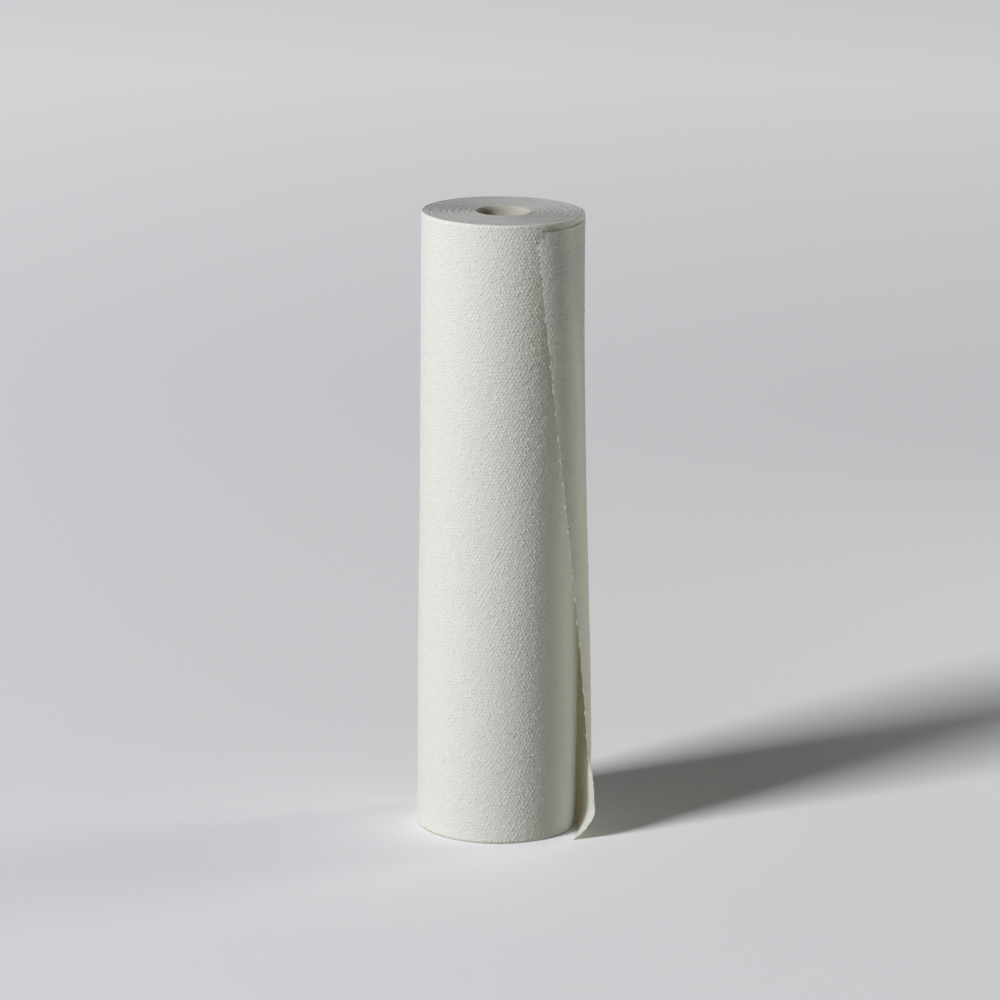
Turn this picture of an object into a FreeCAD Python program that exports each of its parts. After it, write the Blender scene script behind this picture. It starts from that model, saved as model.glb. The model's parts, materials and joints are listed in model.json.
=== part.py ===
import FreeCAD, Part

import math
import os

import Sketcher
from FreeCAD import Vector

# Exam table paper roll, standing on one end with its loose, torn tail coming round the right-hand side.
# Frame: millimetres, +Z up along the core, origin at the centre of the core's lower end, front towards -Y.
# A bearing is an angle in plan: 0 at the front (-Y), growing towards the right (+X). A share of the height
# is 0 on the floor and 1 at the upper edge of the sheet.

# Driving sizes: name, value, what it is. Lengths are in millimetres and angles in degrees.
SIZES = (
    ("roll_length", 500.0, "width of the paper web, which is the length of the roll"),
    ("roll_radius", 64.0, "outer radius of the wound web"),
    ("core_bore_radius", 21.5, "radius of the bore that a dispenser rod goes through"),
    ("core_wall", 1.5, "wall of the cardboard core"),
    ("turn_pitch", 4.6, "radial step from one turn line to the next in the end faces"),
    ("turn_line_width", 0.9, "width of a turn line where it meets the end face"),
    ("turn_line_depth", 0.5, "depth of a turn line"),
    ("turn_rim", 1.4, "paper left between the last turn line and the outside"),
    ("sheet_loft", 0.4, "thickness of one loose sheet, embossing included"),
    ("sheet_root_depth", 0.5, "how deep the loose sheet's root lies in the wound web"),
    ("root_bearing", 180.0, "bearing where the outer turn starts to come loose"),
    ("leave_bearing_top", 99.0, "bearing where the sheet leaves the roll at the upper end"),
    ("leave_bearing_gain", 36.0, "how much further back it leaves at the lower end"),
    ("edge_bearing_top", 23.2, "bearing of the torn edge at the upper end"),
    ("edge_bearing_gain", 36.9, "how much further back the torn edge stands at the lower end"),
    ("edge_gap_top", 1.5, "gap under the torn edge at the upper end"),
    ("edge_gap_gain", 23.2, "how much wider that gap is at the lower end"),
    ("edge_facing_top", 3.4, "bearing that the torn edge faces at the upper end"),
    ("edge_facing_gain", 82.4, "how much further round it faces at the lower end"),
    ("flare_bottom", 50.0, "height below which the foot of the sheet is bent right out"),
    ("flare_top", 75.0, "height above which it is not bent out"),
    ("flare_gap", 4.1, "how much that bend widens the gap under the torn edge"),
    ("flare_facing", 21.6, "how much further round it turns the torn edge"),
    ("slip_root", 0.4, "how far the loose sheet has slipped down at its root"),
    ("slip_edge", 6.0, "how far it has slipped down at the torn edge"),
    ("curl_depth", 20.1, "how far the foot of the torn edge curls in towards the roll"),
    ("curl_height", 26.0, "height of that curl above the floor"),
    ("tie_pitch", 19.0, "spacing of the torn ties that the perforation leaves along the torn edge"),
    ("lowest_tie", 13.0, "height of the lowest tie"),
    ("tie_width", 3.0, "width of a tie along the torn edge"),
    ("tie_length", 1.2, "how far a tie stands out from the cuts beside it"),
)

LEAVE_HANDLE = 0.30  # how stiffly the sheet leaves the roll, as a share of the chord to the torn edge
EDGE_HANDLE = 0.36  # how stiffly it runs up to the torn edge, as a share of the same chord
SHEET_STEPS = 8  # sections that the loose sheet is lofted through, closer together near the foot
STEP_POWER = 2
HELD_STRIPS = 8  # strips along the stretch that still lies against the roll
FREE_STRIPS = 14  # strips along the stretch that stands clear of it
FLAP = 11  # the stretch between two ties, counted from the lowest, that tore off with the ties and stands out
CUTTER_SHEETS = 3  # thickness of a cutter, in sheets: the torn edge and one sheet each side of it
SHEET_DEGREE = 3  # smoothness of the loose sheet from one section to the next
OVERCUT = 0.3  # how far a cutter reaches past the face that it cuts

doc = FreeCAD.newDocument("exam_table_paper_roll")
sizes = doc.addObject("Spreadsheet::Sheet", "Sizes")
for row, (name, value, note) in enumerate(SIZES, start=1):
    sizes.set(f"A{row}", name)
    sizes.set(f"B{row}", str(value))
    sizes.set(f"C{row}", note)
    sizes.setAlias(f"B{row}", name)
doc.recompute()


def size(name):
    """A driving size, as a number."""
    return float(getattr(sizes, name))


# ---------------------------------------------------------------- sketches


def add_sketch(body, name, role):
    """An empty sketch on the body's own origin plane of that role."""
    sketch = body.newObject("Sketcher::SketchObject", name)
    plane = next(feature for feature in body.Origin.OriginFeatures if feature.Role == role)
    sketch.AttachmentSupport = [(plane, "")]
    sketch.MapMode = "FlatFace"
    return sketch


def dimension(sketch, expression, kind, *where):
    """Add a dimension whose value comes from an expression of the sizes."""
    value = float(sizes.evalExpression(expression))
    index = sketch.addConstraint(Sketcher.Constraint(kind, *where, value))
    sketch.setExpression(f"Constraints[{index}]", expression)


def add_ring(body, name, inner_radius, outer_radius):
    """Pad a ring to the length of the roll. The two radii are expressions."""
    sketch = add_sketch(body, name + "_profile", "XY_Plane")
    for radius in (inner_radius, outer_radius):
        drawn = Part.Circle(Vector(), Vector(0, 0, 1), float(sizes.evalExpression(radius)))
        circle = sketch.addGeometry(drawn, False)
        sketch.addConstraint(Sketcher.Constraint("Coincident", circle, 3, -1, 1))
        dimension(sketch, radius, "Radius", circle)
    ring = body.newObject("PartDesign::Pad", name)
    ring.Profile = sketch
    ring.setExpression("Length", "Sizes.roll_length")
    return ring


# ---------------------------------------------------------------- cardboard core


def build_core():
    """The cardboard tube that the web is wound on, flush with the web at both ends."""
    body = doc.addObject("PartDesign::Body", "core_tube")
    add_ring(body, "tube", "Sizes.core_bore_radius", "Sizes.core_bore_radius + Sizes.core_wall")
    return body


# ---------------------------------------------------------------- wound web


def add_half_turns(body, name, axis_shift, line_radii, backwards):
    """Cut half of every turn line as V grooves in the upper end face, all about one axis.

    axis_shift is the axis's place along X, and line_radii are where the lines cross the +X side. All are
    expressions. The lines sweep over the back of the roll, or over its front if backwards is true.
    """
    sketch = add_sketch(body, name + "_profile", "XZ_Plane")
    shift = float(sizes.evalExpression(axis_shift))
    face = size("roll_length")
    axis = sketch.addGeometry(Part.LineSegment(Vector(shift, 0, 0), Vector(shift, face, 0)), True)
    sketch.addConstraint(Sketcher.Constraint("Vertical", axis))
    sketch.addConstraint(Sketcher.Constraint("PointOnObject", axis, 1, -1))
    dimension(sketch, "Sizes.roll_length", "DistanceY", axis, 1, axis, 2)
    dimension(sketch, axis_shift, "DistanceX", -1, 1, axis, 1)
    half = size("turn_line_width") / 2
    for radius in line_radii:
        middle = float(sizes.evalExpression(radius))
        left = Vector(middle - half, face + OVERCUT, 0)
        right = Vector(middle + half, face + OVERCUT, 0)
        root = Vector(middle, face - size("turn_line_depth"), 0)
        corners = (left, right, root)
        lines = [
            sketch.addGeometry(Part.LineSegment(corners[side], corners[side - 2]), False)
            for side in range(3)
        ]
        for side in range(3):
            sketch.addConstraint(Sketcher.Constraint("Coincident", lines[side], 2, lines[side - 2], 1))
        top, right_flank, left_flank = lines
        sketch.addConstraint(Sketcher.Constraint("Horizontal", top))
        dimension(sketch, "Sizes.turn_line_width", "DistanceX", top, 1, top, 2)
        dimension(sketch, "Sizes.turn_line_width / 2", "DistanceX", left_flank, 2, left_flank, 1)
        dimension(sketch, f"{radius} - Sizes.turn_line_width / 2", "DistanceX", -1, 1, top, 1)
        dimension(sketch, f"Sizes.roll_length + {OVERCUT}", "DistanceY", -1, 1, top, 1)
        dimension(sketch, "Sizes.roll_length - Sizes.turn_line_depth", "DistanceY", -1, 1, left_flank, 1)
    groove = body.newObject("PartDesign::Groove", name)
    groove.Profile = sketch
    groove.ReferenceAxis = (sketch, ["Axis0"])
    groove.Angle = 180
    groove.Reversed = backwards
    return groove


def build_web():
    """The wound web: a ring of paper whose turns show as one spiral line in each end face.

    The spiral is made of half circles. Those over the back are centred on the core, and those over the
    front on a point half a pitch to the left, so that each half turn runs smoothly into the next.
    """
    body = doc.addObject("PartDesign::Body", "wound_web")
    core_radius = "Sizes.core_bore_radius + Sizes.core_wall"
    add_ring(body, "ring", core_radius, "Sizes.roll_radius")
    paper = size("roll_radius") - size("core_bore_radius") - size("core_wall")
    count = int((paper - size("turn_rim") - size("turn_line_width")) / size("turn_pitch"))
    radii = [f"Sizes.roll_radius - Sizes.turn_rim - {turn} * Sizes.turn_pitch" for turn in range(count)]
    back = add_half_turns(body, "back_half_turns", "0", radii, False)
    front = add_half_turns(body, "front_half_turns", "-Sizes.turn_pitch / 2", radii[1:], True)
    middle = body.newObject("PartDesign::Plane", "middle_of_length")
    base = next(feature for feature in body.Origin.OriginFeatures if feature.Role == "XY_Plane")
    middle.AttachmentSupport = [(base, "")]
    middle.MapMode = "FlatFace"
    middle.setExpression("AttachmentOffset.Base.z", "Sizes.roll_length / 2")
    lower = body.newObject("PartDesign::Mirrored", "lower_turns")
    lower.Originals = [back, front]
    lower.MirrorPlane = (middle, [""])
    body.Tip = lower
    return body


# ---------------------------------------------------------------- loose sheet


def outward(bearing):
    """The direction in plan that a bearing, in degrees, points in."""
    angle = math.radians(bearing)
    return Vector(math.sin(angle), -math.cos(angle), 0)


def onward(bearing):
    """The direction in plan that the sheet runs in where it faces that bearing."""
    angle = math.radians(bearing)
    return Vector(-math.cos(angle), -math.sin(angle), 0)


def leave_point():
    """Where the loose sheet's outer face leaves the wound web at its root."""
    return outward(size("root_bearing")) * (size("roll_radius") + size("sheet_loft"))


def torn_corner():
    """The torn edge's place in plan at the upper end."""
    reach = size("roll_radius") + size("edge_gap_top") + size("sheet_loft")
    return outward(size("edge_bearing_top")) * reach


def raised(point, share):
    """A plan point lifted to its height on the sheet, whose upper edge slopes down towards the torn edge."""
    start = leave_point()
    run = torn_corner() - start
    travelled = (point - start).dot(run) / run.dot(run)
    slip = size("slip_root") + (size("slip_edge") - size("slip_root")) * travelled
    return Vector(point.x, point.y, share * (size("roll_length") - slip))


def curl(share):
    """How far the foot of the torn edge is pushed in at that share of the height."""
    height = share * size("roll_length") / size("curl_height")
    return size("curl_depth") * max(0.0, 1 - height) ** 2


def flare(share):
    """How far the foot of the sheet is bent out at that share of the height, from 0 to 1."""
    bend = size("flare_top") - size("flare_bottom")
    rise = (share * size("roll_length") - size("flare_bottom")) / bend
    rise = min(1.0, max(0.0, rise))
    return 1 - rise * rise * (3 - 2 * rise)


def torn_edge(share):
    """The torn edge's place in plan and the bearing that it faces, before the curl."""
    fall = 1 - share
    bearing = size("edge_bearing_top") + size("edge_bearing_gain") * fall
    gap = size("edge_gap_top") + size("edge_gap_gain") * math.sin(math.pi / 2 * fall)
    gap += size("flare_gap") * flare(share)
    facing = size("edge_facing_top") + size("edge_facing_gain") * fall + size("flare_facing") * flare(share)
    return outward(bearing) * (size("roll_radius") + gap + size("sheet_loft")), facing


def arc_poles(radius, start, end):
    """The four poles of a cubic that follows a circle about the core from one bearing back to another."""
    first = outward(start) * radius
    last = outward(end) * radius
    handle = radius * 4 / 3 * math.tan(math.radians(start - end) / 4)
    return [first, first + onward(start) * handle, last - onward(end) * handle, last]


def free_poles(radius, share, depth_at_root, depth_at_edge):
    """The four poles of the sheet's free stretch, each sunk in from the outer face by its own depth."""
    leave = size("leave_bearing_top") + size("leave_bearing_gain") * (1 - share)
    start = outward(leave) * radius
    end, facing = torn_edge(share)
    chord = (end - start).Length
    start_in = outward(leave) * -depth_at_root
    end_in = outward(facing) * -depth_at_edge
    return [
        start + start_in,
        start + start_in + onward(leave) * (LEAVE_HANDLE * chord),
        end + end_in - onward(facing) * (EDGE_HANDLE * chord),
        end + end_in + outward(facing) * -curl(share),
    ]


def strips(poles, count):
    """The edges of a cubic cut into equal strips, narrow enough to mesh with long facets."""
    curve = Part.BezierCurve()
    curve.setPoles(poles)
    edges = []
    for strip in range(count):
        piece = curve.copy()
        piece.segment(strip / count, (strip + 1) / count)
        edges.append(piece.toShape())
    return edges


def sheet_section(share):
    """The closed outline of the loose sheet at one share of its height, as a wire."""
    outer_radius = size("roll_radius") + size("sheet_loft")
    root_depth = size("sheet_loft") + size("sheet_root_depth")
    leave = size("leave_bearing_top") + size("leave_bearing_gain") * (1 - share)
    root = size("root_bearing")
    outer = [
        (arc_poles(outer_radius, root, leave), HELD_STRIPS),
        (free_poles(outer_radius, share, 0.0, 0.0), FREE_STRIPS),
    ]
    inner = [
        (free_poles(outer_radius, share, root_depth, size("sheet_loft"))[::-1], FREE_STRIPS),
        (arc_poles(outer_radius - root_depth, root, leave)[::-1], HELD_STRIPS),
    ]
    edges = []
    for face, next_face in ((outer, inner), (inner, outer)):
        for poles, count in face:
            edges += strips([raised(pole, share) for pole in poles], count)
        ends = [raised(point, share) for point in (face[-1][0][-1], next_face[0][0][0])]
        edges.append(Part.LineSegment(*ends).toShape())
    return Part.Wire(edges)


def cut_between_ties(height):
    """The cutter that takes the torn edge back from one tie to the next, about the height of its middle."""
    half = (size("tie_pitch") - size("tie_width")) / 2
    depth = size("tie_length")
    share = height / size("roll_length")
    step = half / size("roll_length")
    middle, facing = torn_edge(share)
    above, _ = torn_edge(share + step)
    below, _ = torn_edge(share - step)
    upward = (raised(above, share + step) - raised(below, share - step)).normalize()
    out = outward(facing) * size("sheet_loft")
    outline = ((-half, OVERCUT), (half, OVERCUT), (half - depth, -depth), (depth - half, -depth))
    corners = [
        raised(middle, share) + out + upward * along + onward(facing) * across for along, across in outline
    ]
    return Part.Face(Part.makePolygon(corners + corners[:1])).extrude(out * -CUTTER_SHEETS)


def build_loose_sheet():
    """The outer turn that has come loose, slipped down, flared out at its foot and been torn off."""
    shares = [(step / SHEET_STEPS) ** STEP_POWER for step in range(SHEET_STEPS + 1)]
    sheet = Part.makeLoft([sheet_section(share) for share in shares], True, False, False, SHEET_DEGREE)
    torn_length = size("roll_length") - size("slip_edge") - size("lowest_tie")
    cutters = []
    for stretch in range(int(torn_length / size("tie_pitch"))):
        height = size("lowest_tie") + (stretch + 0.5) * size("tie_pitch")
        if height > size("curl_height") and stretch != FLAP:
            cutters.append(cut_between_ties(height))
    feature = doc.addObject("Part::Feature", "loose_sheet")
    feature.Shape = sheet.cut(cutters)
    return feature


# ---------------------------------------------------------------- assembly and export


def build_paper(web, sheet):
    """The wound web and its loose end, which are one length of paper."""
    paper = doc.addObject("Part::Fuse", "paper_roll")
    paper.Base = web
    paper.Tool = sheet
    return paper


core_tube = build_core()
paper_roll = build_paper(build_web(), build_loose_sheet())
doc.recompute()

for item in doc.Objects:
    if "Invalid" in item.State or "Error" in item.State:
        raise RuntimeError(f"{item.Label} did not build: {item.State}")

os.makedirs("parts", exist_ok=True)
for piece in (core_tube, paper_roll):
    shape = piece.Shape
    if shape.isNull() or not shape.isValid() or len(shape.Solids) != 1:
        raise RuntimeError(f"{piece.Label} is not one valid solid")
    shape.exportStep(f"parts/{piece.Label}.step")
    print(f"{piece.Label}: {shape.Volume / 1000:.1f} cm3, {shape.BoundBox}")
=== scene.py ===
"""The looks of an exam table paper roll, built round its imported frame.

The roll stands on one end. Its pieces are the wound turns, whose edges show in both ends,
the outermost turn with its raised dots, the loose sheet that has slipped down and off it,
and the board core. Lengths are in metres and bearings in degrees: 0 is the front of the
roll, 90 its right, 180 its back.
"""

import json
import logging
import math
from collections.abc import Iterable
from dataclasses import dataclass
from enum import Enum
from typing import ClassVar

import bmesh
import bpy
import numpy as np
from mathutils import Matrix, Vector

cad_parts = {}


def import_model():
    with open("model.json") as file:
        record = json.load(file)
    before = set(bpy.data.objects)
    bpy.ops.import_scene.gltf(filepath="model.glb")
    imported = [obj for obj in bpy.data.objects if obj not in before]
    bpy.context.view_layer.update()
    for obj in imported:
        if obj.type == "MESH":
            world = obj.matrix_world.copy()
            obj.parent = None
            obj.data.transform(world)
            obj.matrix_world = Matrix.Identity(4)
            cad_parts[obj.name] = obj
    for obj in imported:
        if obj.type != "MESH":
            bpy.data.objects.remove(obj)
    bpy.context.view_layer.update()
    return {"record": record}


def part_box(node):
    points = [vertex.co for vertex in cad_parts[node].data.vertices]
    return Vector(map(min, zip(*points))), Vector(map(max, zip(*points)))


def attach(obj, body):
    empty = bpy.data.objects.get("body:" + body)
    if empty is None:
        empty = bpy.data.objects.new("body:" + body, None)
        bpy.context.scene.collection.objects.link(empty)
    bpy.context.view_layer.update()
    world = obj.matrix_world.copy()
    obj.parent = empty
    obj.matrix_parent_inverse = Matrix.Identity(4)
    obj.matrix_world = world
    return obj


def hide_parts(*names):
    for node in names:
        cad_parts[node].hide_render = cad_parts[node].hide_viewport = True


LOG = logging.getLogger("paper_roll")
MM = 0.001
FULL_TURN = 360.0
ROOT_3 = math.sqrt(3.0)  # Half of this is the height of an equal-sided triangle of side 1.
SAME_PLACE = 0.002 * MM  # Vertices this close are one.
RIM_REACH = 5.0 * MM  # An open edge this close to a tube's end belongs to its rim.
DOT_MAP = "raster"  # The web's own map, in which the dots are evenly spaced.
DOT_LIFT = "lift"  # The attribute that holds how high a dot is beside a plain one.
Array = np.ndarray
Triple = tuple[float, float, float]
Colour = Triple
Limits = tuple[float, float]
Section = tuple[Array, Array, Array]


# ---------------------------------------------------------------- helpers


class Side(Enum):
    """The two faces of the embossed web, by the way its dots stand.

    Attributes:
        RAISED: The outer face, on which they stand up.
        SUNK: The inner face, in which they are hollows.
    """

    RAISED = "raised"
    SUNK = "sunk"


def smooth_step(value: Array, low: float, high: float) -> Array:
    """A smooth rise from 0 at low to 1 at high.

    Args:
        value: Where to read the rise.
        low: The value at which it starts.
        high: The value at which it is complete.

    Returns:
        The rise, between 0 and 1.
    """
    share = np.clip((value - low) / (high - low), 0.0, 1.0)
    return share * share * (3.0 - 2.0 * share)


def outward(bearing: Array) -> Array:
    """The level direction away from the roll's axis at a bearing, as x and y."""
    turned = np.radians(bearing)
    return np.stack((np.sin(turned), -np.cos(turned)), axis=-1)


def onward(bearing: Array) -> Array:
    """The level direction in which the sheet unrolls at a bearing, as x and y."""
    turned = np.radians(bearing)
    return np.stack((-np.cos(turned), -np.sin(turned)), axis=-1)


def vertex_array(mesh: bmesh.types.BMesh) -> Array:
    """The places of all vertices, one row each."""
    return np.array([vertex.co for vertex in mesh.verts], float).reshape(-1, 3)


def move_vertices(mesh: bmesh.types.BMesh, places: Array) -> None:
    """Put every vertex at its row of an array of places."""
    for vertex, place in zip(mesh.verts, places):
        vertex.co = place


def weld(mesh: bmesh.types.BMesh) -> None:
    """Merge the vertices that stand in the same place."""
    bmesh.ops.remove_doubles(mesh, verts=mesh.verts[:], dist=SAME_PLACE)


def flat_grid(columns: int, rows: int) -> bmesh.types.BMesh:
    """A grid whose vertices stand on whole numbers, from 0 up to the two counts.

    Args:
        columns: How many faces it has along x.
        rows: How many faces it has along y.

    Returns:
        A new mesh.
    """
    mesh = bmesh.new()
    bmesh.ops.create_grid(mesh, x_segments=columns, y_segments=rows, size=1.0)
    places = vertex_array(mesh)
    places[:, 0] = np.round((places[:, 0] + 1.0) / 2.0 * columns)
    places[:, 1] = np.round((places[:, 1] + 1.0) / 2.0 * rows)
    move_vertices(mesh, places)
    return mesh


def rim_edges(mesh: bmesh.types.BMesh, height: float) -> list[bmesh.types.BMEdge]:
    """The open edges at one end of a tube.

    Args:
        mesh: A tube that is open at both ends.
        height: About how high that end is.

    Returns:
        The open edges that lie within reach of that height.
    """
    return [
        edge
        for edge in mesh.edges
        if edge.is_boundary and all(abs(v.co.z - height) < RIM_REACH for v in edge.verts)
    ]


def pull_rim(
    mesh: bmesh.types.BMesh, edges: list[bmesh.types.BMEdge], radius: float, height: float
) -> list[bmesh.types.BMEdge]:
    """Extrude a round rim to another radius and height.

    Args:
        mesh: The mesh that the rim belongs to.
        edges: The rim's edges.
        radius: The radius of the new rim.
        height: The height of the new rim.

    Returns:
        The edges of the new rim.
    """
    grown = bmesh.ops.extrude_edge_only(mesh, edges=edges)["geom"]
    fresh = {item for item in grown if isinstance(item, bmesh.types.BMVert)}
    for vertex in fresh:
        level = Vector((vertex.co.x, vertex.co.y, 0.0)).normalized() * radius
        vertex.co = (level.x, level.y, height)
    rims = (item for item in grown if isinstance(item, bmesh.types.BMEdge))
    return [edge for edge in rims if set(edge.verts) <= fresh]


def close_tube(mesh: bmesh.types.BMesh, steepest: float) -> None:
    """Join a tube's two open rims by a wall, turn its faces outwards and shade its walls smooth.

    Args:
        mesh: The tube, whose open edges are those two rims.
        steepest: The z of a face's normal from which on the face is part of an end.
    """
    bmesh.ops.bridge_loops(mesh, edges=[edge for edge in mesh.edges if edge.is_boundary])
    bmesh.ops.recalc_face_normals(mesh, faces=mesh.faces[:])
    for face in mesh.faces:
        face.smooth = abs(face.normal.z) < steepest


def finish_piece(
    mesh: bmesh.types.BMesh, name: str, *materials: bpy.types.Material
) -> bpy.types.Object:
    """Turn a finished bmesh into an object of the scene.

    Args:
        mesh: The mesh, in place. It is freed.
        name: The name of the piece.
        materials: What it is made of, in slot order.

    Returns:
        The new object, at the origin.
    """
    data = bpy.data.meshes.new(name)
    mesh.to_mesh(data)
    mesh.free()
    for material in materials:
        data.materials.append(material)
    piece = bpy.data.objects.new(name, data)
    bpy.context.scene.collection.objects.link(piece)
    return piece


@dataclass(frozen=True)
class Ripple:
    """Unevenness of a surface, as a sum of waves that close round the roll.

    Attributes:
        height: About how far the surface strays either way.
        lobes: The most waves in one turn.
        along: The most waves in a metre up a wall, or out from the middle of an end.
        seed: Picks the waves.
        count: How many waves there are.
    """

    height: float
    lobes: int
    along: float
    seed: int
    count: int = 9

    def at(self, bearing: Array, reach: Array) -> Array:
        """How far the surface strays at some of its points.

        Args:
            bearing: Their bearings, in degrees.
            reach: Their heights on a wall, or their distances from the middle of an end.

        Returns:
            The stray distances, in metres.
        """
        draw = np.random.default_rng(self.seed)
        total = np.zeros(np.broadcast(bearing, reach).shape)
        for _ in range(self.count):
            lobes = draw.integers(0, self.lobes + 1)
            along = draw.uniform(-self.along, self.along)
            start = draw.uniform(0.0, 2.0 * math.pi)
            total += np.sin(lobes * np.radians(bearing) + 2.0 * math.pi * along * reach + start)
        return self.height * total / math.sqrt(self.count)


# How the roll's wall strays from a true cylinder.
WALL_STRAY = Ripple(height=0.16 * MM, lobes=5, along=7.0, seed=3)


# ---------------------------------------------------------------- embossing


@dataclass(frozen=True)
class DotRaster:
    """The raster of raised dots that the embossing rollers press into the web.

    The web's points lie in columns, every second column half a row higher, so that they
    make triangles with nearly equal sides. Every third point of a column is a dot, and the
    six points round it are not.

    Attributes:
        columns: How many columns go round the roll.
        rows: How many rows go along it.
        height: How far a dot stands above the points between the dots.
        stray: How far a dot strays by itself, as a share of a column and of a row.
        wander: About how far neighbouring dots stray together, as such a share.
        wander_reach: How many points along and across such neighbours span.
        still: How many rows from a cut edge the straying fades over.
        spread: How much the dots differ in height, as a share of it.
        seed: Picks the differences.
        DOT_EVERY: One point of a column in this many is a dot.
    """

    columns: int = 268
    rows: int = 288
    height: float = 0.32 * MM
    stray: float = 0.42
    wander: float = 0.5
    wander_reach: int = 30
    still: float = 4.0
    spread: float = 0.65
    seed: int = 7
    DOT_EVERY: ClassVar[int] = 3

    def is_dot(self, column: Array, row: Array) -> Array:
        """Whether each point of the raster is a dot."""
        return np.mod(row, self.DOT_EVERY) == np.mod(column, 2)

    def strays(self) -> Array:
        """How far each point of the raster strays along the web and across it.

        Every dot strays by itself, and a point between dots goes with the three round it.
        On top of that, neighbours wander together.

        Returns:
            The two distances in columns and in rows, by column and row.
        """
        draw = np.random.default_rng(self.seed)
        dots = draw.uniform(-self.stray, self.stray, (2, self.columns, self.rows + 1))
        column, row = np.indices(dots.shape[1:])
        odd = np.mod(column, 2)
        above = np.mod(row - odd, self.DOT_EVERY) == self.DOT_EVERY - 1
        nearest = row + np.where(above, 1, -1)
        beside = row + odd - above
        places = ((column, nearest), (column - 1, beside), (column + 1, beside))
        around = sum(
            dots[:, np.mod(where, self.columns), np.clip(level, 0, self.rows)]
            for where, level in places
        )
        together = draw.normal(size=dots.shape)
        for _ in range(self.wander_reach):
            for axis in (1, 2):
                together += np.roll(together, 1, axis)
        together *= self.wander / together.std()
        alone = np.where(self.is_dot(column, row), dots, around / len(places))
        from_cut = np.minimum(row, self.rows - row)
        return (alone + together) * np.clip(from_cut / self.still, 0.0, 1.0)

    def differences(self, column: Array, row: Array) -> tuple[Array, Array, Array]:
        """What sets each point apart from a perfect raster.

        Args:
            column: The points' columns.
            row: The points' rows.

        Returns:
            How far each strays along the web and across it, in columns and in rows, and
            its height as a share of the raster's.
        """
        draw = np.random.default_rng(self.seed + 1)
        points = (self.columns, self.rows + 1)
        taller = draw.uniform(1.0 - self.spread, 1.0 + self.spread, points)
        column = np.mod(column, self.columns)
        sideways, upwards = self.strays()[:, column, row]
        return sideways, upwards, taller[column, row]

    def lay(self, first: int, last: int) -> "Web":
        """Lay out a stretch of web as a flat mesh of near-equal triangles.

        Args:
            first: The first column of the stretch.
            last: Its last column.

        Returns:
            The flat web.
        """
        mesh = flat_grid(last - first, self.rows)
        places = vertex_array(mesh)
        places[:, 0] += first
        places[:, 1] += 0.5 * np.mod(places[:, 0], 2)
        places[:, 0] *= ROOT_3 / 2.0
        move_vertices(mesh, places)
        bmesh.ops.triangulate(mesh, faces=mesh.faces[:], quad_method="SHORT_EDGE")
        column = np.round(places[:, 0] * 2.0 / ROOT_3).astype(int)
        row = np.round(places[:, 1] - 0.5 * np.mod(column, 2)).astype(int)
        move_vertices(mesh, np.column_stack((column, row, np.zeros(len(row)))))
        return Web(self, mesh)


class Web:
    """A flat stretch of embossed web, on its way to becoming a piece."""

    def __init__(self, raster: DotRaster, mesh: bmesh.types.BMesh) -> None:
        """Keep the raster and the flat mesh, whose x and y are columns and rows."""
        self.raster = raster
        self.mesh = mesh

    def points(self) -> tuple[Array, Array]:
        """The raster column and row of each vertex."""
        places = np.round(vertex_array(self.mesh)).astype(int)
        return places[:, 0], places[:, 1]

    def mark(self) -> None:
        """Write the map of the dots and each vertex's dot height into the mesh."""
        layer = self.mesh.loops.layers.uv.new(DOT_MAP)
        lift = self.mesh.verts.layers.float.new(DOT_LIFT)
        column, row = self.points()
        _, _, taller = self.raster.differences(column, row)
        height = (row + 0.5 * np.mod(column, 2)) / ROOT_3
        for index, vertex in enumerate(self.mesh.verts):
            vertex[lift] = taller[index]
            for loop in vertex.link_loops:
                loop[layer].uv = (column[index] / 2.0, height[index])

    def wanted(self) -> tuple[Array, Array, Array]:
        """Where each vertex lies on the flat web, and how far it stands out of it.

        Returns:
            The places along the web in columns, the shares of its width from 0 at the
            lower edge to 1 at the upper edge, and how far each vertex stands out, in
            metres. Those are 0 in the mean.
        """
        raster = self.raster
        column, row = self.points()
        sideways, upwards, taller = raster.differences(column, row)
        inside = (row > 0) & (row < raster.rows)
        share = (row + upwards + 0.5 * np.mod(column, 2) * inside) / raster.rows
        dots = raster.is_dot(column, row) & inside
        relief = raster.height * (taller * dots - 1.0 / raster.DOT_EVERY) * inside
        return column + sideways, np.clip(share, 0.0, 1.0), relief


# ---------------------------------------------------------------- finishes


@dataclass(frozen=True)
class Grain:
    """One kind of unevenness in a finish.

    Attributes:
        scale: How many blotches there are in a metre.
        detail: How many finer layers it has.
        rough: How strong the finer layers are.
        pace: How fast it changes along each axis, as a share of that.
    """

    scale: float
    detail: float = 2.0
    rough: float = 0.5
    pace: Triple = (1.0, 1.0, 1.0)


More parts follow.
